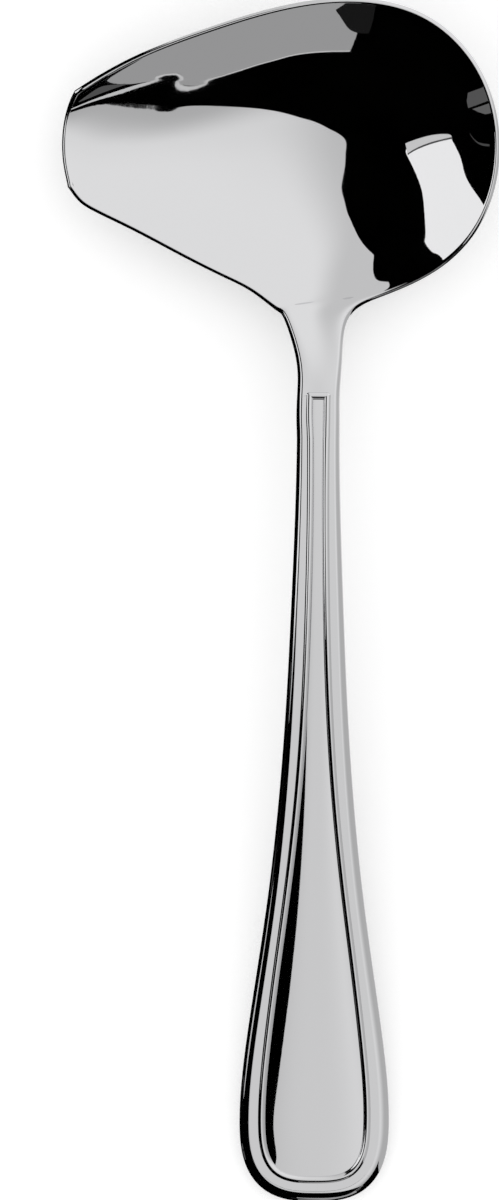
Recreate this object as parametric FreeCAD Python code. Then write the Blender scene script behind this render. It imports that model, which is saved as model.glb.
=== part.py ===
import FreeCAD, Part

import math
import os

# Sauce spoon in millimetres: one piece of polished steel with a wide bowl,
# a pouring lip on its left side, a slim neck and a long arched handle.
# While it is built, x = 0 is the handle's axis, y = 0 is the tail's tip and z = 0 is the
# table. The finished spoon is then centred over the origin.

V = FreeCAD.Vector


# Main sizes

LENGTH = 180.2          # tail's tip to the bowl's far rim
LIP_X = -38.6           # outermost point of the pouring lip
ROUND_SIDE_X = 26.9     # outermost point of the bowl's round side
WALL = 0.95             # thickness of the bowl's wall
NECK_HALF_WIDTH = 3.2

TAIL_HALF_WIDTH = 11.2
TAIL_ROUND = 12.5       # length of the tail's rounded end
TAIL_SQUARENESS = 2.7   # exponent of the rounded end's outline; 2 would be an ellipse
TAIL_CORNER_Y = 3.3     # where the end's edge hands over to the side edges

BEAD_RADIUS = 0.6
BEAD_HEIGHT = 0.25      # how far the bead stands above the flat border
BEAD_END = 120.75       # where the bead crosses the handle before the neck
PANEL_DROP = 0.3        # depth of the panel's edge below the flat border
PANEL_CROWN = 0.07      # rise of the panel's middle, per millimetre of its half width
PANEL_FLATNESS = 4      # exponent of the crown's section; 2 would be a parabola
PANEL_FLOOR = 1.0       # depth at which the panel joins the handle's core
PANEL_ROUND = 13.5      # where the panel's rounded end begins

# Stations along the spoon. On the handle and neck a station is y itself. From 131
# on, the ribs fan out across the bowl until the last one lies along the lip.

HANDLE_END = 115        # up to here the outline is the same on both sides
NECK_START = 116        # up to here the top is level from side to side
TAIL_STATIONS = [TAIL_CORNER_Y, 4.3, 5.6, 7.4, 9.7, 12.5, 15.5, 19, 23, 28, 34]
HANDLE_STATIONS = [42, 51, 60, 70, 80, 90, 100, 108, 114, 118, 122]
BOWL_STATIONS = list(range(125, 188, 2))
RIB_STATIONS = TAIL_STATIONS + HANDLE_STATIONS + BOWL_STATIONS
LIP = RIB_STATIONS[-1]


def guide(stops):
    """Smooth curve through (station, value) stops, as a function."""
    curve = Part.BSplineCurve()
    curve.interpolate(
        Points=[V(value, station, 0) for station, value in stops],
        Parameters=[float(station) for station, value in stops],
    )
    return lambda station: curve.value(station).x


def path_guide(stops):
    """Smooth plan curve through (station, x, y) stops, as a function."""
    x_guide = guide([(station, x) for station, x, y in stops])
    y_guide = guide([(station, y) for station, x, y in stops])
    return lambda station: V(x_guide(station), y_guide(station), 0)


# Guides: how each size runs along the spoon

taper = guide([
    (TAIL_ROUND, 1), (15.5, 0.9875), (22.8, 0.9), (30.3, 0.769), (45.3, 0.5), (60.3, 0.3),
    (75.3, 0.169), (90.3, 0.084), (105.3, 0.019), (116, 0), (125, 0.0125),
])
top_height = guide([
    (-3, 2.1), (12, 3.1), (30, 5.1), (60, 9.3), (85, 12.1), (105, 12.5), (120, 11.3), (131, 9.1),
])
neck_heights = [(station, top_height(station)) for station in (HANDLE_END, 121)]
left_rim_plan = path_guide([
    (115, -NECK_HALF_WIDTH, 115), (121, -NECK_HALF_WIDTH, 121), (127, -3.55, 127),
    (131, -5.0, 131.7), (136, -6.5, 133.6), (142, -9.6, 135.95), (150, -14.0, 138.3),
    (160, -20.3, 141.4), (172, -28.7, 145.75), (182, LIP_X + 3.3, 149.25), (187, LIP_X + 1.3, 150.75),
])
right_rim_plan = path_guide([
    (115, NECK_HALF_WIDTH, 115), (121, NECK_HALF_WIDTH, 121), (127, 3.55, 127),
    (131, 4.45, 132.4), (136, 9.8, 135.85), (143, ROUND_SIDE_X - 8.3, 140.35),
    (149, ROUND_SIDE_X - 2.4, 147.35), (155, ROUND_SIDE_X, 157.9), (161, ROUND_SIDE_X - 3, 169.7),
    (167, ROUND_SIDE_X - 12.7, LENGTH - 1.75), (172, 2.4, LENGTH), (180, -17.6, LENGTH - 4.75),
    (183.6, LIP_X + 11.25, LENGTH - 8.6), (187, LIP_X + 2.3, LENGTH - 13.4),
])
lip_ends = [left_rim_plan(187), right_rim_plan(187)]
lip_plan = path_guide([
    (0, lip_ends[0].x, lip_ends[0].y), (0.22, LIP_X + 0.4, 154.2), (0.5, LIP_X, 158.6),
    (0.78, LIP_X + 0.6, 163.3), (1, lip_ends[1].x, lip_ends[1].y),
])

left_rim_height = guide(neck_heights + [
    (127, 9.95), (131, 8.8), (139, 8.2), (155, 8.5), (171, 8.8), (187, 8.6),
])
right_rim_height = guide(neck_heights + [
    (127, 9.85), (131, 8.4), (135, 7.75), (143, 9.1), (155, 11.4),
    (167, 12.1), (175, 11.6), (183, 9.8), (187, 8.9),
])
middle_height = guide(neck_heights + [
    (127, 9.85), (131, 8.3), (136, 6.85), (141, 5.65), (149, 3.45), (156, 1.95),
    (163, 1.15), (171, 2.1), (179, 4.4), (187, 7.3),
])
left_wall_angle = guide([
    (115, 0), (121, 0), (127, 0), (131, 4), (135, 13), (139, 22), (147, 29), (159, 30), (171, 26), (187, 22),
])
right_wall_angle = guide([
    (115, 0), (121, 0), (127, 0), (131, 0), (136, 5), (143, 28), (149, 43), (155, 49), (163, 49),
    (171, 46), (179, 39), (187, 25),
])
floor_lean = guide([
    (115, 0), (127, 0), (135, 0.2), (145, 1.3), (155, 2.2), (163, 2.1), (171, 1.3), (187, 0),
])
middle_thickness = guide([
    (0, 2.2), (20, 2.2), (60, 2.7), (100, 3.4), (116, 3.7), (125, 3.5), (131, 2.8), (137, 1.9), (143, 1.3),
    (150, 1.0), (160, WALL), (187, WALL),
])
edge_thickness = guide([
    (0, 1.8), (20, 1.8), (60, 2.1), (100, 2.6), (116, 2.8), (125, 2.4), (131, 1.7), (137, 1.15), (143, 0.97),
    (150, WALL), (160, WALL), (187, WALL),
])
edge_round = guide([
    (0, 1.6), (20, 1.5), (60, 1.2), (100, 0.95), (118, 0.85), (125, 0.8), (131, 0.65), (137, 0.52),
    (143, 0.48), (150, WALL / 2), (160, WALL / 2), (187, WALL / 2),
])
bead_inset = guide([
    (0, 3.3), (12.5, 3.25), (22.8, 3.1), (36, 2.78), (60, 2.72), (90, 2.5), (116, 1.97), (125, 1.85),
])


# Plan outline

def tail_depth(x):
    """y of the rounded end's outline at this distance from the axis."""
    share = 1 - abs(x / TAIL_HALF_WIDTH) ** TAIL_SQUARENESS
    return TAIL_ROUND * (1 - share ** (1 / TAIL_SQUARENESS))


def half_width(y):
    """Half the handle's width at y."""
    if y >= TAIL_ROUND:
        return NECK_HALF_WIDTH + (TAIL_HALF_WIDTH - NECK_HALF_WIDTH) * taper(y)
    share = 1 - ((TAIL_ROUND - y) / TAIL_ROUND) ** TAIL_SQUARENESS
    return TAIL_HALF_WIDTH * share ** (1 / TAIL_SQUARENESS)


TAIL_CORNER_X = half_width(TAIL_CORNER_Y)


def side_outline(station, side):
    """Point of the plan outline; side is -1 on the left and 1 on the right."""
    if station <= HANDLE_END:
        return V(side * half_width(station), station, 0)
    return left_rim_plan(station) if side < 0 else right_rim_plan(station)


def plan_direction(curve, station, low, high):
    """Unit plan vector along a curve given as a function of its station."""
    step = 0.01
    ahead = curve(min(station + step, high))
    behind = curve(max(station - step, low))
    direction = ahead - behind
    direction.z = 0
    return direction.normalize()


def side_outward(station, side):
    """Unit plan vector that points out of the spoon across its side edge."""
    along = plan_direction(lambda s: side_outline(s, side), station, TAIL_CORNER_Y, LIP)
    return V(side * along.y, -side * along.x, 0)


def lip_outward(share):
    """Unit plan vector that points out of the spoon across the lip."""
    along = plan_direction(lip_plan, share, 0, 1)
    return V(-along.y, along.x, 0)


def tail_outline(share):
    """Point of the tail's end edge, from its left corner to its right one."""
    x = TAIL_CORNER_X * (2 * share - 1)
    return V(x, tail_depth(x), 0)


def tail_outward(share):
    along = plan_direction(tail_outline, share, 0, 1)
    return V(along.y, -along.x, 0)


# Top surface

def rim_inset(round_width, thickness, wall_angle):
    """Plan distance from the outline to where the rounded rim meets the top surface."""
    lean = math.radians(wall_angle)
    half = thickness / 2
    reach = math.hypot(round_width * math.cos(lean), half * math.sin(lean))
    return half * math.sin(lean) + reach


def rim_turn(station, side):
    """Plan vector from the rim's inner edge to the outline, mitred at the lip's corners."""
    outward = side_outward(station, side)
    if station < LIP:
        return outward
    lip = lip_outward(0 if side < 0 else 1)
    return (outward + lip) / (1 + outward.dot(lip))


def wall_angle(station, side):
    if station <= HANDLE_END:
        return 0.0
    return left_wall_angle(station) if side < 0 else right_wall_angle(station)


def rim_height(station, side):
    if station <= HANDLE_END:
        return top_height(station)
    return left_rim_height(station) if side < 0 else right_rim_height(station)


def rim_edge(station, side):
    """Where the top surface meets the rounded rim at the side of the spoon."""
    inset = rim_inset(edge_round(station), edge_thickness(station), wall_angle(station, side))
    point = side_outline(station, side) - rim_turn(station, side) * inset
    point.z = rim_height(station, side)
    return point


def tail_edge(share):
    """Where the top surface meets the rounded rim at the tail, in plan."""
    return tail_outline(share) - tail_outward(share) * edge_round(0)


def bow(edge, share):
    """How far an end edge bows out of the straight line between its corners."""
    bowed = edge(share) - (edge(0) * (1 - share) + edge(1) * share)
    bowed.z = 0
    return bowed


def fade(distance, reach):
    """1 at distance 0, easing to 0 at the reach."""
    share = min(max(1 - distance / reach, 0), 1)
    return share * share


def end_slope(station, side, across):
    """Slope of the top surface along a rib where it meets the rim."""
    outward = side_outward(station, side)
    along = V(-side * outward.y, side * outward.x, 0)
    low, high = max(station - 0.1, HANDLE_END), min(station + 0.1, LIP)
    run = (side_outline(high, side) - side_outline(low, side)).Length
    rise = (rim_height(high, side) - rim_height(low, side)) / run
    wall = math.tan(math.radians(wall_angle(station, side)))
    return across.dot(along) * rise + across.dot(outward) * wall


def rib_height(station, share, left, right):
    """Height of the bowl's top surface on a rib: level ends, steep walls and a set middle."""
    across = V(right.x - left.x, right.y - left.y, 0)
    length = across.Length
    across.normalize()
    left_slope = end_slope(station, -1, across) * length
    right_slope = end_slope(station, 1, across) * length
    rest = 1 - share
    smooth = (
        left.z * rest * rest * (1 + 2 * share) + right.z * share * share * (3 - 2 * share)
        + left_slope * share * rest * rest - right_slope * share * share * rest
    )
    middle = (left.z + right.z) / 2 + (left_slope - right_slope) / 8
    deeper = middle_height(station) - middle - floor_lean(station) * (rest - share)
    return smooth + deeper * 16 * share * share * rest * rest


def top_point(station, share):
    """Point of the top surface; share runs from 0 at the left rim to 1 at the right rim."""
    left = rim_edge(station, -1)
    right = rim_edge(station, 1)
    point = left * (1 - share) + right * share
    point += bow(tail_edge, share) * fade(station - TAIL_CORNER_Y, 10.7)
    point += bow(lip_plan, share) * fade(LIP - station, 20)
    if station <= NECK_START:
        point.z = top_height(point.y)
    else:
        point.z = rib_height(station, share, left, right)
    return point


def top_normal(station, share):
    """Unit vector that points up out of the top surface."""
    if station <= NECK_START:
        y = top_point(station, share).y
        slope = (top_height(y + 0.01) - top_height(y - 0.01)) / 0.02
        return V(0, -slope, 1).normalize()
    low, high = min(station, LIP - 0.03) - 0.02, min(station, LIP - 0.03) + 0.02
    along = top_point(high, share) - top_point(low, share)
    near, far = max(share - 0.002, 0), min(share + 0.002, 1)
    across = top_point(station, far) - top_point(station, near)
    return across.cross(along).normalize()


def thickness(station, share):
    """Wall thickness, which swells from the edges to the middle of a rib."""
    edge = edge_thickness(station)
    return edge + (middle_thickness(station) - edge) * 4 * share * (1 - share)


def bottom_point(station, share):
    return top_point(station, share) - top_normal(station, share) * thickness(station, share)


# Rounded rim

def rim_profile(edge, normal, outward, round_width, edge_depth):
    """Half oval from the top surface's edge over the rim to the bottom surface's edge."""
    flat = outward - normal * outward.dot(normal)
    flat = flat * (1 / flat.Length)
    centre = edge - normal * (edge_depth / 2)
    profile = []
    for step in range(RIM_STEPS + 1):
        turn = math.pi * step / RIM_STEPS
        reach = flat * (round_width * math.sin(turn))
        profile.append(centre + reach + normal * (edge_depth / 2 * math.cos(turn)))
    return profile


def side_profile(station, side):
    share = 0 if side < 0 else 1
    turn = rim_turn(station, side)
    return rim_profile(
        top_point(station, share), top_normal(station, share), turn,
        edge_round(station) * turn.Length, edge_thickness(station),
    )


def end_profile(station, share, outward):
    """Profile of the tail's or the lip's rim; its corners are those of the side rims."""
    if share in (0, 1):
        return side_profile(station, -1 if share == 0 else 1)
    return rim_profile(
        top_point(station, share), top_normal(station, share), outward(share),
        edge_round(station), thickness(station, share),
    )


# Surfaces through grids of points

RIM_STEPS = 8
RIM_SHARES = [step / RIM_STEPS for step in range(RIM_STEPS + 1)]
RIB_STEPS = 12
RIB_SHARES = [step / RIB_STEPS for step in range(RIB_STEPS + 1)]


def through(points, stations):
    curve = Part.BSplineCurve()
    curve.interpolate(Points=points, Parameters=[float(station) for station in stations])
    return curve


def skin(rows, row_stations, column_stations):
    """Face through rows of points."""
    row_curves = [through(row, column_stations) for row in rows]
    columns = zip(*[curve.getPoles() for curve in row_curves])
    column_curves = [through(list(column), row_stations) for column in columns]
    poles = list(zip(*[curve.getPoles() for curve in column_curves]))
    surface = Part.BSplineSurface()
    surface.buildFromPolesMultsKnots(
        [list(row) for row in poles],
        column_curves[0].getMultiplicities(), row_curves[0].getMultiplicities(),
        column_curves[0].getKnots(), row_curves[0].getKnots(),
        False, False, column_curves[0].Degree, row_curves[0].Degree,
    )
    return surface.toShape()


def solid_of(faces):
    shell = Part.Compound(faces)
    shell.sewShape()
    solid = Part.Solid(shell.Shells[0])
    if solid.Volume < 0:
        solid.reverse()
    return solid


def make_blank():
    """The plain spoon, without the handle's pattern."""
    top = [[top_point(s, share) for share in RIB_SHARES] for s in RIB_STATIONS]
    bottom = [[bottom_point(s, share) for share in RIB_SHARES] for s in RIB_STATIONS]
    left = [side_profile(s, -1) for s in RIB_STATIONS]
    right = [side_profile(s, 1) for s in RIB_STATIONS]
    tail = [end_profile(TAIL_CORNER_Y, share, tail_outward) for share in RIB_SHARES]
    lip = [end_profile(LIP, share, lip_outward) for share in RIB_SHARES]
    return solid_of([
        skin(top, RIB_STATIONS, RIB_SHARES),
        skin(bottom, RIB_STATIONS, RIB_SHARES),
        skin(left, RIB_STATIONS, RIM_SHARES),
        skin(right, RIB_STATIONS, RIM_SHARES),
        skin(tail, RIB_SHARES, RIM_SHARES),
        skin(lip, RIB_SHARES, RIM_SHARES),
    ])


# Pattern of the handle: a raised bead frames a sunk panel with a crowned middle

TAIL_STEPS = 8
BEAD_STATIONS = [5, 7, 9.5, 12.5, 16, 20, 25, 31, 38, 46, 55, 65, 75, 85, 95, 105, 113, BEAD_END]
PANEL_STATIONS = [-1, 1, 2.5, 4, 5.5, 7, 8.5, 10, 12, 14, 17, 21, 26, 33, 42, 52, 64, 76, 88, 100, 112, 124]
PANEL_SHARES = [step / 10 for step in range(21)]


def bead_plan(station, side):
    """Point of the bead's middle line beside the panel."""
    inset = bead_inset(station)
    return side_outline(station, side) - side_outward(station, side) * inset


def bead_tail(share):
    """Point of the bead's middle line around the tail."""
    point = tail_outline(share)
    return point - tail_outward(share) * bead_inset(point.y)


def bead_points():
    """Middle line of the bead from the neck down the left side, around the tail and back up."""
    left = [bead_plan(s, -1) for s in reversed(BEAD_STATIONS)]
    tail = [bead_tail(step / TAIL_STEPS) for step in range(TAIL_STEPS + 1)]
    right = [bead_plan(s, 1) for s in BEAD_STATIONS]
    return left + tail + right


def panel_half_width(y):
    """Half the panel's width beside the rounded end and above it."""
    station = max(y, PANEL_ROUND)
    return half_width(station) - bead_inset(station)


def panel_height(x, y):
    """Height of the panel: sunk along the bead and crowned in the middle."""
    half = panel_half_width(y)
    down = max(PANEL_ROUND - y, 0) / (PANEL_ROUND - bead_inset(0))
    power = TAIL_SQUARENESS
    across = ((abs(x) / half) ** power + down ** power) ** (1 / power)
    return top_height(y) - PANEL_DROP + PANEL_CROWN * half * (1 - across ** PANEL_FLATNESS)


def high_level():
    """A level above the whole handle."""
    return 2 * max(top_height(y) for y in HANDLE_STATIONS)


def above_panel_floor():
    """Everything above the level at which the panel joins the handle's core."""
    reach = 2 * TAIL_HALF_WIDTH
    floor = [V(-reach, y, top_height(y) - PANEL_FLOOR) for y in range(-3, 126, 4)]
    curve = Part.BSplineCurve()
    curve.interpolate(Points=floor)
    high = high_level()
    corners = [floor[-1], V(-reach, floor[-1].y, high), V(-reach, floor[0].y, high), floor[0]]
    outline = Part.Wire([curve.toShape()] + [
        Part.makeLine(start, end) for start, end in zip(corners, corners[1:])
    ])
    return Part.Face(outline).extrude(V(2 * reach, 0, 0))


def below_panel():
    """Everything below the panel's crowned surface."""
    rows = []
    for y in PANEL_STATIONS:
        reach = 1.15 * panel_half_width(y)
        columns = [reach * (share - 1) for share in PANEL_SHARES]
        rows.append([V(x, y, panel_height(x, y)) for x in columns])
    sheet = skin(rows, PANEL_STATIONS, PANEL_SHARES)
    return sheet.extrude(V(0, 0, -high_level()))


def panel_prism(points):
    """Upright prism inside the bead's middle line."""
    curve = Part.BSplineCurve()
    curve.interpolate(Points=points)
    ends = Part.makeLine(points[-1], points[0])
    outline = Part.Wire([curve.toShape(), ends])
    return Part.Face(outline).extrude(V(0, 0, high_level()))


def bead_tube(points):
    """Round bead along its middle line, with the bar that closes it before the neck."""
    sink = BEAD_HEIGHT - BEAD_RADIUS
    path = [V(p.x, p.y, top_height(p.y) + sink) for p in points]
    curve = Part.BSplineCurve()
    curve.interpolate(Points=path)
    section = Part.Wire(Part.makeCircle(BEAD_RADIUS, path[0], curve.tangent(curve.FirstParameter)[0]))
    sides = Part.Wire(curve.toShape()).makePipeShell([section], True, False)
    bar = Part.makeCylinder(BEAD_RADIUS, (path[0] - path[-1]).Length, path[0], V(1, 0, 0))
    corners = [Part.makeSphere(BEAD_RADIUS, path[0]), Part.makeSphere(BEAD_RADIUS, path[-1])]
    return sides.fuse([bar] + corners)


def add_pattern(blank):
    points = bead_points()
    above = panel_prism(points).common(above_panel_floor())
    panel = above.common(below_panel())
    return blank.cut(above).fuse([panel, bead_tube(points)]).removeSplitter()


def main():
    spoon = add_pattern(make_blank()).Solids[0]
    box = spoon.optimalBoundingBox(False, False)
    spoon.translate(V(-(box.XMin + box.XMax) / 2, -(box.YMin + box.YMax) / 2, -box.ZMin))
    os.makedirs("parts", exist_ok=True)
    spoon.exportStep("parts/spoon.step")


main()
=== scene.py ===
import bpy
import numpy as np
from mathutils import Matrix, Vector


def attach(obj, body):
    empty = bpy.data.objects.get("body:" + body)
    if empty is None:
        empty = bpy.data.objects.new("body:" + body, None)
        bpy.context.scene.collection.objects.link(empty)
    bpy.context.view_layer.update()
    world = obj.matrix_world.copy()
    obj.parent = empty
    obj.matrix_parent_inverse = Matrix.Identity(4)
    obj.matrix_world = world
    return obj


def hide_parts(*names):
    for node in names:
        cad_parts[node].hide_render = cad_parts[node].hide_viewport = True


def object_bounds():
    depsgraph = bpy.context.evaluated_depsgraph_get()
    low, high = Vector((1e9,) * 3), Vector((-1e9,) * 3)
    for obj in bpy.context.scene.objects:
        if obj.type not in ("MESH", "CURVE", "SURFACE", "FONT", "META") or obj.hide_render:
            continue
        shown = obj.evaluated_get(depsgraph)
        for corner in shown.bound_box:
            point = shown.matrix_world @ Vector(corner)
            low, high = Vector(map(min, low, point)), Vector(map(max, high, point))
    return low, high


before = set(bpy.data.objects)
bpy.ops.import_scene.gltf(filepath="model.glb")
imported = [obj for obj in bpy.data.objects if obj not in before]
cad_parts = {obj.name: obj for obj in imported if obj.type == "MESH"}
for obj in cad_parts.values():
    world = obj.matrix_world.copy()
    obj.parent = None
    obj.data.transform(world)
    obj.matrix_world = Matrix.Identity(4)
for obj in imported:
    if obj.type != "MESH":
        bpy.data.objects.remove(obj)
frame_low, frame_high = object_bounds()

# Sauce spoon. Shapes are worked out in millimetres, with x = 0 on the handle's axis,
# y = 0 at the tail's tip and z = 0 on the table, and are then moved to the frame's box.

MM = 0.001

LENGTH = 180.2          # tail's tip to the bowl's far rim
LIP_X = -38.6           # outermost point of the pouring lip
ROUND_SIDE_X = 26.9     # outermost point of the bowl's round side
WALL = 0.95             # thickness of the bowl's wall
NECK_HALF_WIDTH = 3.2

TAIL_HALF_WIDTH = 11.2
TAIL_ROUND = 12.5
TAIL_SQUARENESS = 2.7
TAIL_CORNER_Y = 3.3

BEAD_RADIUS = 0.6
BEAD_HEIGHT = 0.25
BEAD_END = 120.75
PANEL_DROP = 0.3
PANEL_CROWN = 0.07
PANEL_FLATNESS = 4
PANEL_ROUND = 13.5

# Stations run along the spoon. They are the same as y up to the handle's end, and turn across
# the bowl beyond it until the last one lies along the lip.
HANDLE_END = 115
NECK_START = 116
LIP = 187
SLOPE_END = 130         # the handle's heights are read no farther than this

TAIL_BOW_REACH = 10.7   # how far the tail's curve and the lip's curve carry into the surface
LIP_BOW_REACH = 20
BEAD_FOOT = 0.487       # from the bead's middle to where it leaves the flat band
PANEL_EDGE = 0.35       # the panel runs on this far under the bead
PANEL_START = 2.9
PANEL_TAIL = 3.3


def guide(stops):
    """Smooth curve through (station, value) stops, as a function of arrays of stations."""
    x = np.array([stop[0] for stop in stops], float)
    y = np.array([stop[1] for stop in stops], float)
    count = len(x)
    gap = np.diff(x)
    rise = np.diff(y) / gap
    first = np.polyfit(x[:4] - x[0], y[:4], 3)[-2]
    last = np.polyfit(x[-4:] - x[-1], y[-4:], 3)[-2]
    matrix = np.eye(count)
    right = np.zeros(count)
    right[0], right[-1] = first, last
    for i in range(1, count - 1):
        matrix[i, i - 1] = gap[i]
        matrix[i, i] = 2 * (gap[i - 1] + gap[i])
        matrix[i, i + 1] = gap[i - 1]
        right[i] = 3 * (gap[i] * rise[i - 1] + gap[i - 1] * rise[i])
    slope = np.linalg.solve(matrix, right)

    def value(station):
        s = np.asarray(station, float)
        i = np.clip(np.searchsorted(x, s) - 1, 0, count - 2)
        h = gap[i]
        t = (s - x[i]) / h
        return (
            y[i] * (1 + 2 * t) * (1 - t) ** 2 + y[i + 1] * t * t * (3 - 2 * t)
            + slope[i] * h * t * (1 - t) ** 2 - slope[i + 1] * h * t * t * (1 - t)
        )

    return value


def path_guide(stops):
    x_guide = guide([(station, x) for station, x, y in stops])
    y_guide = guide([(station, y) for station, x, y in stops])
    return lambda station: np.stack([x_guide(station), y_guide(station)], -1)


taper = guide([
    (TAIL_ROUND, 1), (15.5, 0.9875), (22.8, 0.9), (30.3, 0.769), (45.3, 0.5), (60.3, 0.3),
    (75.3, 0.169), (90.3, 0.084), (105.3, 0.019), (116, 0), (125, 0.0125),
])
top_height = guide([
    (-3, 2.1), (12, 3.1), (30, 5.1), (60, 9.3), (85, 12.1), (105, 12.5), (120, 11.3), (131, 9.1),
])
neck_heights = [(station, float(top_height(station))) for station in (HANDLE_END, 121)]
left_rim_plan = path_guide([
    (115, -NECK_HALF_WIDTH, 115), (121, -NECK_HALF_WIDTH, 121), (127, -3.55, 127),
    (131, -5.0, 131.7), (136, -6.5, 133.6), (142, -9.6, 135.95), (150, -14.0, 138.3),
    (160, -20.3, 141.4), (172, -28.7, 145.75), (180, LIP_X + 4.65, 148.3),
    (184, LIP_X + 2.5, 149.8), (187, LIP_X + 1.1, 151.9),
])
right_rim_plan = path_guide([
    (115, NECK_HALF_WIDTH, 115), (121, NECK_HALF_WIDTH, 121), (127, 3.55, 127),
    (131, 4.45, 132.4), (136, 9.8, 135.85), (143, ROUND_SIDE_X - 8.3, 140.35),
    (149, ROUND_SIDE_X - 2.4, 147.35), (155, ROUND_SIDE_X, 157.9), (161, ROUND_SIDE_X - 3, 169.7),
    (167, ROUND_SIDE_X - 12.7, LENGTH - 1.75), (172, 2.4, LENGTH), (180, -17.6, LENGTH - 4.75),
    (183.6, LIP_X + 11.25, LENGTH - 8.6), (187, LIP_X + 1.9, LENGTH - 14.1),
])
lip_ends = [left_rim_plan(LIP), right_rim_plan(LIP)]
lip_plan = path_guide([
    (0, lip_ends[0][0], lip_ends[0][1]), (0.25, LIP_X + 0.25, 155.3), (0.5, LIP_X, 158.8),
    (0.75, LIP_X + 0.45, 162.6), (1, lip_ends[1][0], lip_ends[1][1]),
])

left_rim_height = guide(neck_heights + [
    (127, 9.95), (131, 8.8), (139, 8.2), (155, 8.5), (171, 8.8), (187, 8.6),
])
right_rim_height = guide(neck_heights + [
    (127, 9.85), (131, 8.4), (135, 7.75), (143, 9.1), (155, 11.4),
    (167, 12.1), (175, 11.6), (183, 9.8), (187, 8.9),
])
middle_height = guide(neck_heights + [
    (127, 9.85), (131, 8.3), (136, 6.85), (141, 5.65), (149, 3.45), (156, 1.95),
    (163, 1.15), (171, 2.1), (179, 4.4), (187, 7.3),
])
left_wall_angle = guide([
    (115, 0), (121, 0), (127, 0), (131, 4), (135, 13), (139, 22), (147, 29), (159, 30),
    (171, 26), (187, 22),
])
right_wall_angle = guide([
    (115, 0), (121, 0), (127, 0), (131, 0), (136, 5), (143, 28), (149, 42), (155, 46.5), (163, 46.5),
    (171, 45.5), (179, 42), (187, 35),
])
floor_lean = guide([
    (115, 0), (127, 0), (135, 0.2), (145, 1.3), (155, 2.2), (163, 2.1), (171, 1.3), (187, 0),
])
middle_thickness = guide([
    (0, 2.2), (20, 2.2), (60, 2.7), (100, 3.4), (116, 3.7), (125, 3.5), (131, 2.8),
    (137, 1.9), (143, 1.3), (150, 1.0), (160, WALL), (187, WALL),
])
edge_thickness = guide([
    (0, 1.8), (20, 1.8), (60, 2.1), (100, 2.6), (116, 2.8), (125, 2.4), (131, 1.7),
    (137, 1.15), (143, 0.97), (150, WALL), (160, WALL), (187, WALL),
])
edge_round = guide([
    (0, 1.6), (20, 1.5), (60, 1.2), (100, 0.95), (118, 0.85), (125, 0.8), (131, 0.65), (137, 0.52),
    (143, 0.48), (150, WALL / 2), (160, WALL / 2), (187, WALL / 2),
])
bead_inset = guide([
    (0, 3.3), (12.5, 3.25), (22.8, 3.1), (36, 2.78), (60, 2.72), (90, 2.5), (116, 1.97), (125, 1.85),
])


# Outline in plan

def unit(vectors):
    return vectors / np.linalg.norm(vectors, axis=-1, keepdims=True)


def tail_depth(x):
    share = 1 - np.abs(x / TAIL_HALF_WIDTH) ** TAIL_SQUARENESS
    return TAIL_ROUND * (1 - share ** (1 / TAIL_SQUARENESS))


def half_width(y):
    y = np.asarray(y, float)
    down = np.clip((TAIL_ROUND - y) / TAIL_ROUND, 0, 1)
    tail = TAIL_HALF_WIDTH * (1 - down ** TAIL_SQUARENESS) ** (1 / TAIL_SQUARENESS)
    handle = NECK_HALF_WIDTH + (TAIL_HALF_WIDTH - NECK_HALF_WIDTH) * taper(np.maximum(y, TAIL_ROUND))
    return np.where(y < TAIL_ROUND, tail, handle)


TAIL_CORNER_X = float(half_width(TAIL_CORNER_Y))


def side_outline(station, side):
    station = np.asarray(station, float)
    handle = np.stack([side * half_width(np.minimum(station, HANDLE_END)), station], -1)
    bowl = (left_rim_plan if side < 0 else right_rim_plan)(np.maximum(station, HANDLE_END))
    return np.where((station <= HANDLE_END)[..., None], handle, bowl)


def direction(curve, station, low, high, step=0.01):
    station = np.asarray(station, float)
    return unit(curve(np.minimum(station + step, high)) - curve(np.maximum(station - step, low)))


def side_outward(station, side):
    along = direction(lambda s: side_outline(s, side), station, TAIL_CORNER_Y, LIP)
    return np.stack([side * along[..., 1], -side * along[..., 0]], -1)


def lip_outward(share):
    along = direction(lip_plan, share, 0, 1)
    return np.stack([-along[..., 1], along[..., 0]], -1)


def tail_outline(share):
    x = TAIL_CORNER_X * (2 * np.asarray(share, float) - 1)
    return np.stack([x, tail_depth(x)], -1)


def tail_outward(share):
    along = direction(tail_outline, share, 0, 1)
    return np.stack([along[..., 1], -along[..., 0]], -1)


# Top surface of the plain spoon

def rim_inset(round_width, depth, wall):
    lean = np.radians(wall)
    half = depth / 2
    return half * np.sin(lean) + np.hypot(round_width * np.cos(lean), half * np.sin(lean))


def rim_turn(station, side):
    """Way that the rim points in plan, longer at the lip's corners so that the two rims meet."""
    outward = side_outward(station, side)
    lip = lip_outward(0.0 if side < 0 else 1.0)
    mitre = (outward + lip) / (1 + (outward * lip).sum(-1, keepdims=True))
    at_corner = (np.asarray(station) >= LIP - 1e-6)[..., None]
    return np.where(at_corner, mitre, outward)


def wall_angle(station, side):
    station = np.asarray(station, float)
    bowl = (left_wall_angle if side < 0 else right_wall_angle)(np.maximum(station, HANDLE_END))
    return np.where(station <= HANDLE_END, 0.0, bowl)


def rim_height(station, side):
    station = np.asarray(station, float)
    bowl = (left_rim_height if side < 0 else right_rim_height)(np.maximum(station, HANDLE_END))
    return np.where(station <= HANDLE_END, top_height(np.minimum(station, HANDLE_END)), bowl)


def rim_edge(station, side):
    inset = rim_inset(edge_round(station), edge_thickness(station), wall_angle(station, side))
    return side_outline(station, side) - rim_turn(station, side) * inset[..., None]


def tail_edge(share):
    return tail_outline(share) - tail_outward(share) * edge_round(0.0)


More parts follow.
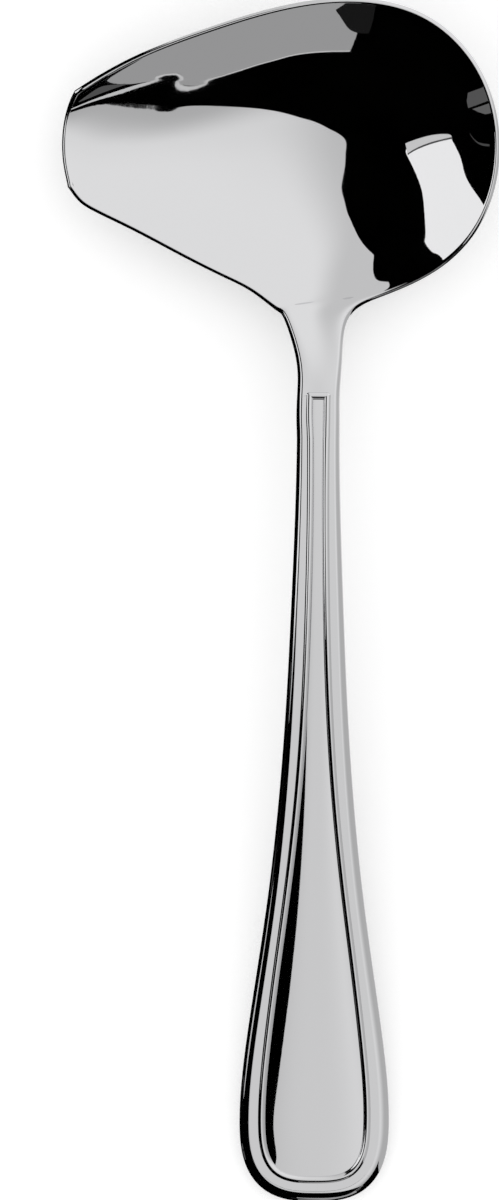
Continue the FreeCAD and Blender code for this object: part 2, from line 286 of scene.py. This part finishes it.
def bow(edge, share):
    """How far a curved end lies from the straight line between its corners."""
    share = np.asarray(share, float)
    straight = edge(0.0) * (1 - share)[..., None] + edge(1.0) * share[..., None]
    return edge(share) - straight


def fade(distance, reach):
    return np.clip(1 - distance / reach, 0, 1) ** 2


def end_slope(station, side, across):
    """Rise of the top surface at its edge, along the rib."""
    outward = side_outward(station, side)
    along = np.stack([-side * outward[..., 1], side * outward[..., 0]], -1)
    low = np.maximum(station - 0.1, HANDLE_END)
    high = np.minimum(station + 0.1, LIP)
    run = np.linalg.norm(side_outline(high, side) - side_outline(low, side), axis=-1)
    rise = (rim_height(high, side) - rim_height(low, side)) / run
    wall = np.tan(np.radians(wall_angle(station, side)))
    return (across * along).sum(-1) * rise + (across * outward).sum(-1) * wall


def top_point(station, share):
    """Points of the top surface, in millimetres; share runs from the left rim to the right."""
    station, share = np.broadcast_arrays(np.asarray(station, float), np.asarray(share, float))
    left, right = rim_edge(station, -1), rim_edge(station, 1)
    plan = left * (1 - share)[..., None] + right * share[..., None]
    plan = plan + bow(tail_edge, share) * fade(station - TAIL_CORNER_Y, TAIL_BOW_REACH)[..., None]
    plan = plan + bow(lip_plan, share) * fade(LIP - station, LIP_BOW_REACH)[..., None]
    s = np.maximum(station, NECK_START)
    left, right = rim_edge(s, -1), rim_edge(s, 1)
    across = right - left
    length = np.linalg.norm(across, axis=-1)
    across = across / length[..., None]
    left_slope = end_slope(s, -1, across) * length
    right_slope = end_slope(s, 1, across) * length
    left_z, right_z = rim_height(s, -1), rim_height(s, 1)
    rest = 1 - share
    smooth = (
        left_z * rest ** 2 * (1 + 2 * share) + right_z * share ** 2 * (3 - 2 * share)
        + left_slope * share * rest ** 2 - right_slope * share ** 2 * rest
    )
    middle = (left_z + right_z) / 2 + (left_slope - right_slope) / 8
    deeper = middle_height(s) - middle - floor_lean(s) * (rest - share)
    bowl = smooth + deeper * 16 * share ** 2 * rest ** 2
    z = np.where(station <= NECK_START, top_height(np.minimum(plan[..., 1], SLOPE_END)), bowl)
    return np.concatenate([plan, z[..., None]], -1)


def top_normal(station, share):
    station, share = np.broadcast_arrays(np.asarray(station, float), np.asarray(share, float))
    y = top_point(station, share)[..., 1]
    level = flat_normal(np.minimum(y, SLOPE_END))
    middle = np.clip(station, NECK_START + 0.02, LIP - 0.03)
    along = top_point(middle + 0.02, share) - top_point(middle - 0.02, share)
    across = (
        top_point(station, np.minimum(share + 0.002, 1)) - top_point(station, np.maximum(share - 0.002, 0))
    )
    return np.where((station <= NECK_START)[..., None], level, unit(np.cross(across, along)))


def flat_normal(y):
    """Normal of the handle's top, which only slopes lengthwise."""
    slope = (top_height(y + 0.01) - top_height(y - 0.01)) / 0.02
    return unit(np.stack([np.zeros_like(slope), -slope, np.ones_like(slope)], -1))


def thickness(station, share):
    edge = edge_thickness(station)
    return edge + (middle_thickness(station) - edge) * 4 * share * (1 - share)


def bottom_point(station, share):
    return top_point(station, share) - top_normal(station, share) * thickness(station, share)[..., None]


# Pattern of the handle

panel_fade = guide([
    (3, 0.15), (8, 0.4), (14, 0.53), (20, 0.62), (28, 0.69), (60, 0.72), (125, 0.72),
])


def panel_half_width(y):
    station = np.maximum(y, PANEL_ROUND)
    return half_width(station) - bead_inset(station)


def panel_height(x, y):
    half = panel_half_width(y)
    down = np.clip((PANEL_ROUND - y) / (PANEL_ROUND - bead_inset(0.0)), 0, None)
    power = TAIL_SQUARENESS
    across = ((np.abs(x) / half) ** power + down ** power) ** (1 / power)
    crown = PANEL_CROWN * panel_fade(np.clip(y, 3, 125))
    return top_height(y) - PANEL_DROP + crown * half * (1 - across ** PANEL_FLATNESS)


# Meshes

def in_frame(points, origin):
    """Points of the spoon, in millimetres, moved to the foot of the frame's box, in metres."""
    box_low, box_high = np.array(frame_low), np.array(frame_high)
    foot = np.array([*(box_low + box_high)[:2] / 2, box_low[2]])
    return (points - origin) * MM + foot


class Builder:
    """Collects grids of points with their own smooth normals."""

    def __init__(self):
        self.points, self.normals, self.faces = [], [], []
        self.count = 0

    def grid(self, points, outside, exact=False):
        """Adds a grid of points; the outside vectors are its normals, or only tell its outer side."""
        points, outside = np.asarray(points, float), np.asarray(outside, float)
        turned = np.cross(np.gradient(points, axis=0), np.gradient(points, axis=1))
        flip = (turned * outside).sum() < 0
        if not exact:
            sign = -1 if flip else 1
            edge = np.cross(
                np.gradient(points, axis=0, edge_order=2), np.gradient(points, axis=1, edge_order=2)
            )
            size = np.linalg.norm(edge, axis=-1, keepdims=True)
            outside = np.where(size > 1e-9, sign * edge / np.maximum(size, 1e-9), outside)
        rows, columns = points.shape[:2]
        index = self.count + np.arange(rows * columns).reshape(rows, columns)
        quads = np.stack([index[:-1, :-1], index[1:, :-1], index[1:, 1:], index[:-1, 1:]], -1)
        quads = quads.reshape(-1, 4)
        if flip:
            quads = quads[:, ::-1]
        self.points.append(points.reshape(-1, 3))
        self.normals.append(unit(outside).reshape(-1, 3))
        self.faces.append(quads)
        self.count += rows * columns

    def mesh(self, name):
        points = np.concatenate(self.points)
        low, high = points.min(0), points.max(0)
        origin = np.array([(low[0] + high[0]) / 2, (low[1] + high[1]) / 2, low[2]])
        mesh = bpy.data.meshes.new(name)
        mesh.from_pydata(in_frame(points, origin).tolist(), [], np.concatenate(self.faces).tolist())
        mesh.polygons.foreach_set("use_smooth", np.ones(len(mesh.polygons), bool))
        mesh.normals_split_custom_set_from_vertices(np.concatenate(self.normals).tolist())
        mesh.update()
        return mesh, origin


def spread(stops, counts):
    """Stations with the given number of steps between each pair of stops."""
    parts = [np.linspace(a, b, n, endpoint=False) for a, b, n in zip(stops, stops[1:], counts)]
    return np.append(np.concatenate(parts), stops[-1])


RIM_STEPS = 14


def add_rim(build, edge, normal, outward, round_width, depth):
    """The rounded edge, half an oval from the top surface's edge to the bottom's."""
    outward = np.concatenate([outward, np.zeros_like(outward[..., :1])], -1)
    flat = unit(outward - normal * (outward * normal).sum(-1, keepdims=True))
    centre = edge - normal * (depth / 2)[..., None]
    turn = np.pi * np.arange(RIM_STEPS + 1) / RIM_STEPS
    sine, cosine = np.sin(turn)[None, :, None], np.cos(turn)[None, :, None]
    wide, deep = round_width[:, None, None], depth[:, None, None] / 2
    points = centre[:, None] + flat[:, None] * (wide * sine) + normal[:, None] * (deep * cosine)
    normals = unit(flat[:, None] * (sine / wide) + normal[:, None] * (cosine / deep))
    build.grid(points, normals, exact=True)


def add_side_rim(build, side, stations):
    turn = rim_turn(stations, side)
    size = np.linalg.norm(turn, axis=-1)
    share = 0.0 if side < 0 else 1.0
    add_rim(
        build, top_point(stations, share), top_normal(stations, share), turn,
        edge_round(stations) * size, edge_thickness(stations),
    )


def add_end_rim(build, station, outward, shares):
    turn = outward(shares)
    width = np.full(shares.shape, float(edge_round(station)))
    if station == LIP:
        for end, side in ((0, -1), (-1, 1)):
            turn[end] = rim_turn(np.array(station), side)
            width[end] = float(edge_round(station)) * np.linalg.norm(turn[end])
    add_rim(
        build, top_point(station, shares), top_normal(station, shares), turn,
        width, thickness(np.full(shares.shape, float(station)), shares),
    )


def ring_path():
    """Outline points and outward vectors from the neck's left side around the tail to its right."""
    side = spread([TAIL_CORNER_Y, 20, BEAD_END], [40, 140])
    share = np.linspace(0, 1, 81)[1:-1]
    left, right = side_outline(side, -1)[::-1], side_outline(side, 1)
    outline = np.concatenate([left, tail_outline(share), right])
    outward = np.concatenate([side_outward(side, -1)[::-1], tail_outward(share), side_outward(side, 1)])
    return outline, outward


def add_flat_border(build, outline, outward, inset):
    """The flat band between the rounded rim and the bead."""
    rim = edge_round(np.where(outline[:, 1] < TAIL_CORNER_Y, 0, outline[:, 1]))
    steps = np.linspace(0, 1, 9)[None, :, None]
    outer = outline - outward * rim[:, None]
    inner = outline - outward * (inset - BEAD_FOOT)[:, None]
    plan = outer[:, None] * (1 - steps) + inner[:, None] * steps
    points = np.concatenate([plan, top_height(plan[..., 1:])], -1)
    build.grid(points, flat_normal(plan[..., 1]), exact=True)


def add_bead(build, outline, outward, inset):
    """The upper part of a round bar that runs along the flat band."""
    plan = outline - outward * inset[:, None]
    height = top_height(plan[:, 1]) + BEAD_HEIGHT - BEAD_RADIUS
    centre = np.concatenate([plan, height[:, None]], -1)
    along = unit(np.gradient(centre, axis=0))
    out = np.concatenate([outward, np.zeros_like(outward[:, :1])], -1)
    out = unit(out - along * (out * along).sum(-1, keepdims=True))
    up = np.cross(out, along)
    up = up * np.sign(up[:, 2:])
    turn = np.radians(np.linspace(-80, 60, 19))
    normals = out[:, None] * np.sin(turn)[None, :, None] + up[:, None] * np.cos(turn)[None, :, None]
    build.grid(centre[:, None] + normals * BEAD_RADIUS, normals, exact=True)


def add_bar(build):
    """The bead's straight end across the handle, with its rounded corners."""
    height = float(top_height(BEAD_END)) + BEAD_HEIGHT - BEAD_RADIUS
    half = float(half_width(BEAD_END) - bead_inset(BEAD_END))
    turn = np.radians(np.linspace(-80, 80, 19))
    x = np.linspace(-half, half, 9)
    normals = np.stack([np.zeros_like(turn), np.sin(turn), np.cos(turn)], -1)
    normals = np.broadcast_to(normals, (9, 19, 3))
    centre = np.stack([x, np.full(9, BEAD_END), np.full(9, height)], -1)
    build.grid(centre[:, None] + normals * BEAD_RADIUS, normals, exact=True)
    polar, around = np.meshgrid(
        np.radians(np.linspace(1, 85, 10)), np.radians(np.linspace(0, 360, 25)), indexing="ij"
    )
    ball = np.stack([np.sin(polar) * np.cos(around), np.sin(polar) * np.sin(around), np.cos(polar)], -1)
    for side in (-1, 1):
        corner = np.array([side * half, BEAD_END, height])
        build.grid(corner + ball * BEAD_RADIUS, ball, exact=True)


def add_panel(build):
    """The sunk panel with its crowned middle."""
    y = spread([PANEL_START, 16, BEAD_END], [40, 160])
    share = np.linspace(-1, 1, 41)
    half = half_width(np.maximum(y, PANEL_TAIL)) - bead_inset(y) + PANEL_EDGE
    x = half[:, None] * share[None]
    y = np.broadcast_to(y[:, None], x.shape)
    step = 0.01
    slope_x = (panel_height(x + step, y) - panel_height(x - step, y)) / (2 * step)
    slope_y = (panel_height(x, y + step) - panel_height(x, y - step)) / (2 * step)
    normals = unit(np.stack([-slope_x, -slope_y, np.ones_like(x)], -1))
    build.grid(np.stack([x, y, panel_height(x, y)], -1), normals, exact=True)


def build_spoon():
    build = Builder()
    outline, outward = ring_path()
    inset = bead_inset(outline[:, 1])
    add_flat_border(build, outline, outward, inset)
    add_bead(build, outline, outward, inset)
    add_bar(build)
    add_panel(build)
    stations = spread([BEAD_END, LIP], [150])
    shares = np.linspace(0, 1, 101)
    build.grid(
        top_point(stations[:, None], shares[None]),
        top_normal(stations[:, None], shares[None]), exact=True,
    )
    stations = spread([TAIL_CORNER_Y, 20, 120, LIP], [30, 90, 150])
    for side in (-1, 1):
        add_side_rim(build, side, stations)
    shares = np.linspace(0, 1, 65)
    build.grid(
        bottom_point(stations[:, None], shares[None]),
        -top_normal(stations[:, None], shares[None]),
    )
    add_end_rim(build, TAIL_CORNER_Y, tail_outward, shares)
    add_end_rim(build, LIP, lip_outward, shares)
    return build.mesh("spoon_polished")


# Materials

STEEL = (0.82, 0.82, 0.83)
SMOOTHEST, ROUGHEST = 0.012, 0.03
RIPPLE_DEPTH = 0.00012  # in metres, as is the next
MARK_DEPTH = 0.000006
UNEVENNESS = 0.1        # share of both depths that shows
MARK_STRETCH = 0.06     # polishing marks run along the spoon
TABLE_WHITE = 0.9
TABLE_GLOW = 0.38       # lifts the lit table to white for the camera


def noise(tree, place, scale, detail):
    """Cloudy pattern, as a grey level."""
    pattern = tree.nodes.new("ShaderNodeTexNoise")
    pattern.inputs["Scale"].default_value = scale
    pattern.inputs["Detail"].default_value = detail
    tree.links.new(place, pattern.inputs["Vector"])
    return pattern.outputs["Fac"]


def bump(tree, height, depth):
    """Slight unevenness of the surface."""
    made = tree.nodes.new("ShaderNodeBump")
    made.inputs["Strength"].default_value = UNEVENNESS
    made.inputs["Distance"].default_value = depth
    tree.links.new(height, made.inputs["Height"])
    return made


def uneven_gloss(tree, place):
    """Roughness that varies a little from place to place."""
    rough = tree.nodes.new("ShaderNodeMapRange")
    rough.inputs["From Min"].default_value = 0.35
    rough.inputs["From Max"].default_value = 0.7
    rough.inputs["To Min"].default_value = SMOOTHEST
    rough.inputs["To Max"].default_value = ROUGHEST
    tree.links.new(noise(tree, place, 90, 4), rough.inputs["Value"])
    return rough.outputs["Result"]


def polished_steel():
    material = bpy.data.materials.new("polished_steel")
    material.use_nodes = True
    tree = material.node_tree
    tree.nodes.clear()
    output = tree.nodes.new("ShaderNodeOutputMaterial")
    shader = tree.nodes.new("ShaderNodeBsdfPrincipled")
    shader.inputs["Base Color"].default_value = (*STEEL, 1)
    shader.inputs["Metallic"].default_value = 1
    where = tree.nodes.new("ShaderNodeTexCoord")
    stretch = tree.nodes.new("ShaderNodeMapping")
    stretch.inputs["Scale"].default_value = (1, MARK_STRETCH, 1)
    tree.links.new(where.outputs["Object"], stretch.inputs["Vector"])
    ripple = bump(tree, noise(tree, where.outputs["Object"], 45, 1), RIPPLE_DEPTH)
    marks = bump(tree, noise(tree, stretch.outputs["Vector"], 900, 3), MARK_DEPTH)
    tree.links.new(ripple.outputs["Normal"], marks.inputs["Normal"])
    tree.links.new(marks.outputs["Normal"], shader.inputs["Normal"])
    tree.links.new(uneven_gloss(tree, where.outputs["Object"]), shader.inputs["Roughness"])
    tree.links.new(shader.outputs["BSDF"], output.inputs["Surface"])
    return material


def plain_material(name, color, roughness=1.0):
    material = bpy.data.materials.new(name)
    material.use_nodes = True
    shader = material.node_tree.nodes["Principled BSDF"]
    shader.inputs["Base Color"].default_value = (*color, 1)
    shader.inputs["Roughness"].default_value = roughness
    shader.inputs["Specular IOR Level"].default_value = 0
    return material


def table_material():
    """White table top that keeps the shadow; the camera sees its lit part as white."""
    material = plain_material("table_white", (TABLE_WHITE, TABLE_WHITE, TABLE_WHITE))
    tree = material.node_tree
    shader = tree.nodes["Principled BSDF"]
    glow = tree.nodes.new("ShaderNodeEmission")
    glow.inputs["Strength"].default_value = TABLE_GLOW
    path = tree.nodes.new("ShaderNodeLightPath")
    black = tree.nodes.new("ShaderNodeEmission")
    black.inputs["Strength"].default_value = 0.0
    seen = tree.nodes.new("ShaderNodeMixShader")
    both = tree.nodes.new("ShaderNodeAddShader")
    tree.links.new(path.outputs["Is Camera Ray"], seen.inputs["Fac"])
    tree.links.new(black.outputs["Emission"], seen.inputs[1])
    tree.links.new(glow.outputs["Emission"], seen.inputs[2])
    tree.links.new(shader.outputs["BSDF"], both.inputs[0])
    tree.links.new(seen.outputs["Shader"], both.inputs[1])
    tree.links.new(both.outputs["Shader"], tree.nodes["Material Output"].inputs["Surface"])
    return material


def glow_material(name, level):
    """Even glow of a grey level."""
    material = bpy.data.materials.new(name)
    material.use_nodes = True
    tree = material.node_tree
    tree.nodes.clear()
    output = tree.nodes.new("ShaderNodeOutputMaterial")
    glow = tree.nodes.new("ShaderNodeEmission")
    glow.inputs["Color"].default_value = (level, level, level, 1)
    tree.links.new(glow.outputs["Emission"], output.inputs["Surface"])
    return material


# Spoon

mesh, mesh_origin = build_spoon()
mesh.materials.append(polished_steel())
spoon = bpy.data.objects.new("spoon_polished", mesh)
bpy.context.scene.collection.objects.link(spoon)
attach(spoon, "root")
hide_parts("spoon")


# Studio: everything here is only light, ground and what the steel mirrors

# The dome's middle lies in the bowl. Both are in metres.
BOWL = np.array([-0.005, 0.068, 0.008])
DOME = 12.0
TABLE_REACH = 3.0
TABLE_DROP = 0.0002     # keeps the table's top just clear of the spoon
SKY_LIGHT = 0.8
CAMERA_HEIGHT = 3.0
SPOON_TURN = 0.0057     # the spoon's slight turn in the picture, in radians


def only_mirrored(card):
    """Hides a card from everything but reflections."""
    card.visible_camera = False
    card.visible_diffuse = False
    card.visible_transmission = False
    card.visible_volume_scatter = False
    card.visible_shadow = False


def add_sheet(name, points, level):
    """Glowing sheet through a grid of points, seen only in the steel."""
    rows, columns = points.shape[:2]
    index = np.arange(rows * columns).reshape(rows, columns)
    quads = np.stack([index[:-1, :-1], index[1:, :-1], index[1:, 1:], index[:-1, 1:]], -1)
    data = bpy.data.meshes.new(name)
    data.from_pydata(points.reshape(-1, 3).tolist(), [], quads.reshape(-1, 4).tolist())
    data.materials.append(glow_material(name, level))
    card = bpy.data.objects.new(name, data)
    bpy.context.scene.collection.objects.link(card)
    only_mirrored(card)


def along_rows(values, fine):
    """Values between a card's rows, on a smooth curve where there are enough rows."""
    knots = np.arange(len(values))
    if len(values) < 4:
        return np.interp(fine, knots, values)
    return guide(list(zip(knots, values)))(fine)


def add_card(name, edges, level, radius):
    """Card on a dome around the bowl, ruled between two edges of (azimuth, polar) angles."""
    fine = np.linspace(0, len(edges) - 1, 12 * (len(edges) - 1) + 1)
    ends = [
        np.stack([along_rows([row[end][axis] for row in edges], fine) for axis in (0, 1)], -1)
        for end in (0, 1)
    ]
    share = np.linspace(0, 1, 41)[None, :, None]
    angles = np.radians(ends[0][:, None] * (1 - share) + ends[1][:, None] * share)
    turn, polar = angles[..., 0], angles[..., 1]
    points = np.stack([
        np.sin(polar) * np.cos(turn), np.sin(polar) * np.sin(turn), np.cos(polar),
    ], -1)
    add_sheet(name, points * radius + BOWL, level)


# What the bowl mirrors, as angles on the dome. The flag is the bowl's dark part, and the rest
# are the grey band along its far rim, the white patch on its round side and small reflections.

NADIR = 176
add_card("black_flag", [
    ((116, 104), (116, NADIR)), ((117, 80), (118, NADIR)), ((119.6, 66), (120, NADIR)),
    ((122.6, 57.4), (122, NADIR)), ((124.8, 47), (124, NADIR)), ((124.6, 37), (126, NADIR)),
    ((122.4, 27.2), (128, NADIR)), ((120.6, 21.5), (130, NADIR)), ((124.6, 18.2), (132, NADIR)),
    ((130.5, 15.8), (137, NADIR)), ((149.6, 14), (150, NADIR)), ((177.5, 13.3), (177, NADIR)),
    ((195.9, 14.3), (195, NADIR)), ((208.9, 15), (208, NADIR)), ((225, 14.8), (224, NADIR)),
    ((243, 15.4), (243, NADIR)), ((261, 18), (260, NADIR)), ((274, 21.9), (272, NADIR)),
    ((285.5, 30.2), (284, NADIR)), ((294.3, 38.7), (292, NADIR)), ((299.3, 45.5), (297, NADIR)),
    ((302.3, 46.5), (301, NADIR)), ((305.4, 44), (306, NADIR)), ((309.7, 42), (310, NADIR)),
    ((314, 41.5), (314, NADIR)), ((320, 41.5), (320, NADIR)), ((328, 42), (328, NADIR)),
], 0.0, DOME)
add_card("grey_horizon", [
    ((296, 81), (295.6, 84)), ((295, 70), (294, 85)), ((294, 62.5), (292.4, 85.5)),
    ((292.4, 61.4), (290.4, 86.3)), ((290.6, 63), (287.6, 87.4)), ((289, 66), (284.6, 88.5)),
    ((286.4, 68), (282.6, 89.6)), ((283.3, 69.8), (280.4, 91.5)), ((280.4, 70.2), (278, 95)),
    ((277, 70.2), (275, 102)), ((271, 68.2), (271, 103)), ((265.4, 66.7), (266, 103)),
], 0.36, DOME - 0.5)
add_card("grey_gap", [
    ((271.5, 86.5), (271.5, 87)), ((269, 80.5), (269.5, 89)), ((266.5, 77), (267, 90.5)),
    ((262, 76), (262, 92)),
], 0.01, DOME - 1)
add_card("grey_edge", [
    ((290.6, 62.4), (290.6, 63)), ((289, 65.4), (289, 66)), ((286.4, 67.4), (286.4, 68)),
    ((283.3, 69.2), (283.3, 69.8)), ((280.4, 69.6), (280.4, 70.2)), ((277, 69.6), (277, 70.2)),
    ((271, 67.6), (271, 68.2)), ((265.4, 66.1), (265.4, 66.7)),
], 0.62, DOME - 1)
add_card("light_line", [
    ((303, 51), (303, 54.2)), ((300.2, 51.8), (300, 54.6)), ((297.6, 54.2), (297.4, 56.6)),
    ((294.8, 57.2), (294.7, 59)), ((292.4, 60), (292.2, 61.2)), ((290.7, 62.4), (290.5, 63.2)),
], 0.6, DOME - 1)
add_card("dark_lens", [
    ((300.5, 63), (300.5, 66)), ((299, 60.5), (298.6, 72)), ((297.2, 60.5), (297, 74)),
    ((295.6, 61.2), (295.4, 68)), ((294, 62), (294, 63.4)),
], 0.09, DOME - 1)
add_card("patch_top", [
    ((188, 35.5), (181.2, 36)), ((189.6, 40), (184.9, 41)), ((190.6, 46), (186.9, 47)),
    ((190.6, 52), (187.8, 53)), ((190, 57), (188.2, 58)), ((189.2, 59.5), (188.4, 60)),
], 0.66, DOME - 2)
add_card("patch_line", [
    ((181.2, 36), (180.4, 36.2)), ((184.9, 41), (184, 41.3)), ((186.9, 47), (186, 47.3)),
    ((187.8, 53), (187, 53.3)), ((188.2, 58), (187.4, 58.3)), ((188.4, 60), (187.6, 60.3)),
], 0.08, DOME - 2)
add_card("white_patch", [
    ((184, 35.7), (188.8, 60)), ((179, 36.2), (185.8, 60.5)), ((171, 40), (179, 65)),
    ((163, 45), (173, 68.5)), ((154, 51), (168.5, 75)), ((146, 58), (165, 84)),
    ((140, 64), (160, 95)), ((137.4, 66), (154, 96)), ((136, 68), (148, 92)),
    ((135, 70), (141, 84)), ((135, 72), (136, 75)),
], 0.97, DOME - 1)
add_card("small_patch", [
    ((204.5, 80), (203, 97)), ((201.5, 76.8), (200.5, 97)), ((198.6, 76.2), (198, 97)),
], 0.1, DOME - 1)
add_card("small_tongue", [
    ((197.6, 79), (197, 97)), ((195.6, 83), (195, 97)), ((194, 88), (193.4, 97)),
], 0.13, DOME - 1)
add_card("thin_curve", [
    ((188.9, 73), (187.9, 73.4)), ((185.7, 77), (184.9, 77.6)), ((184.4, 82), (183.6, 82.4)),
    ((183.8, 88), (183.1, 88)),
], 0.07, DOME - 1)


# Table

def add_table():
    data = bpy.data.meshes.new("table_top")
    corners = [(-1, -1), (1, -1), (1, 1), (-1, 1)]
    points = [(x * TABLE_REACH, y * TABLE_REACH, 0) for x, y in corners]
    data.from_pydata(points, [], [(0, 1, 2, 3)])
    data.materials.append(table_material())
    table = bpy.data.objects.new("table_top", data)
    bpy.context.scene.collection.objects.link(table)
    table.location.z = -TABLE_DROP
    table.visible_glossy = False


add_table()


# Sky

def falloff(tree, weights, low, high, low_level, high_level):
    """Light that changes from one level to another along a direction of the sky."""
    where = tree.nodes.new("ShaderNodeTexCoord")
    dot = tree.nodes.new("ShaderNodeVectorMath")
    dot.operation = "DOT_PRODUCT"
    dot.inputs[1].default_value = weights
    ramp = tree.nodes.new("ShaderNodeMapRange")
    ramp.interpolation_type = "SMOOTHSTEP"
    ramp.inputs["From Min"].default_value = low
    ramp.inputs["From Max"].default_value = high
    ramp.inputs["To Min"].default_value = low_level
    ramp.inputs["To Max"].default_value = high_level
    tree.links.new(where.outputs["Generated"], dot.inputs[0])
    tree.links.new(dot.outputs["Value"], ramp.inputs["Value"])
    return ramp.outputs["Result"]


def product(tree, first, second):
    both = tree.nodes.new("ShaderNodeMath")
    both.operation = "MULTIPLY"
    tree.links.new(first, both.inputs[0])
    tree.links.new(second, both.inputs[1])
    return both.outputs["Value"]


def mirrored_level(tree):
    """The sky that the steel mirrors, dimmer towards the front right and the left."""
    front_right = falloff(tree, (-1, 0.9, 0), -0.9, -0.35, 0.62, 1.0)
    back = falloff(tree, (0, 1, 0), -0.3, 0.6, 0.78, 0.86)
    left = falloff(tree, (1, 0, 0), -0.25, 0.2, 0.74, 1.0)
    return product(tree, front_right, product(tree, back, left))


def white_sky(tree, strength):
    light = tree.nodes.new("ShaderNodeBackground")
    light.inputs["Color"].default_value = (1, 1, 1, 1)
    light.inputs["Strength"].default_value = strength
    return light


def choice(tree, factor, plain, chosen):
    mix = tree.nodes.new("ShaderNodeMixShader")
    tree.links.new(factor, mix.inputs["Fac"])
    tree.links.new(plain, mix.inputs[1])
    tree.links.new(chosen, mix.inputs[2])
    return mix.outputs["Shader"]


def add_sky():
    """Even light on the spoon, a graded sky in the steel and plain white for the camera."""
    world = bpy.data.worlds.new("studio")
    bpy.context.scene.world = world
    world.use_nodes = True
    tree = world.node_tree
    tree.nodes.clear()
    out = tree.nodes.new("ShaderNodeOutputWorld")
    path = tree.nodes.new("ShaderNodeLightPath")
    light = white_sky(tree, SKY_LIGHT)
    mirrored = white_sky(tree, 1.0)
    seen = white_sky(tree, 1.0)
    tree.links.new(mirrored_level(tree), mirrored.inputs["Strength"])
    lit = choice(
        tree, path.outputs["Is Glossy Ray"], light.outputs["Background"], mirrored.outputs["Background"]
    )
    shown = choice(tree, path.outputs["Is Camera Ray"], lit, seen.outputs["Background"])
    tree.links.new(shown, out.inputs["Surface"])


add_sky()


# Camera

def add_camera():
    """Looks straight down, turned with the spoon."""
    data = bpy.data.cameras.new("camera")
    camera = bpy.data.objects.new("camera", data)
    bpy.context.scene.collection.objects.link(camera)
    bpy.context.scene.camera = camera
    data.sensor_fit = "VERTICAL"
    data.sensor_height = 24
    data.lens = 400
    data.clip_end = 40
    camera.location = (-0.0043, 0.00003, CAMERA_HEIGHT)
    camera.rotation_euler = (0, 0, SPOON_TURN)


add_camera()

bpy.context.scene.view_settings.view_transform = "Standard"
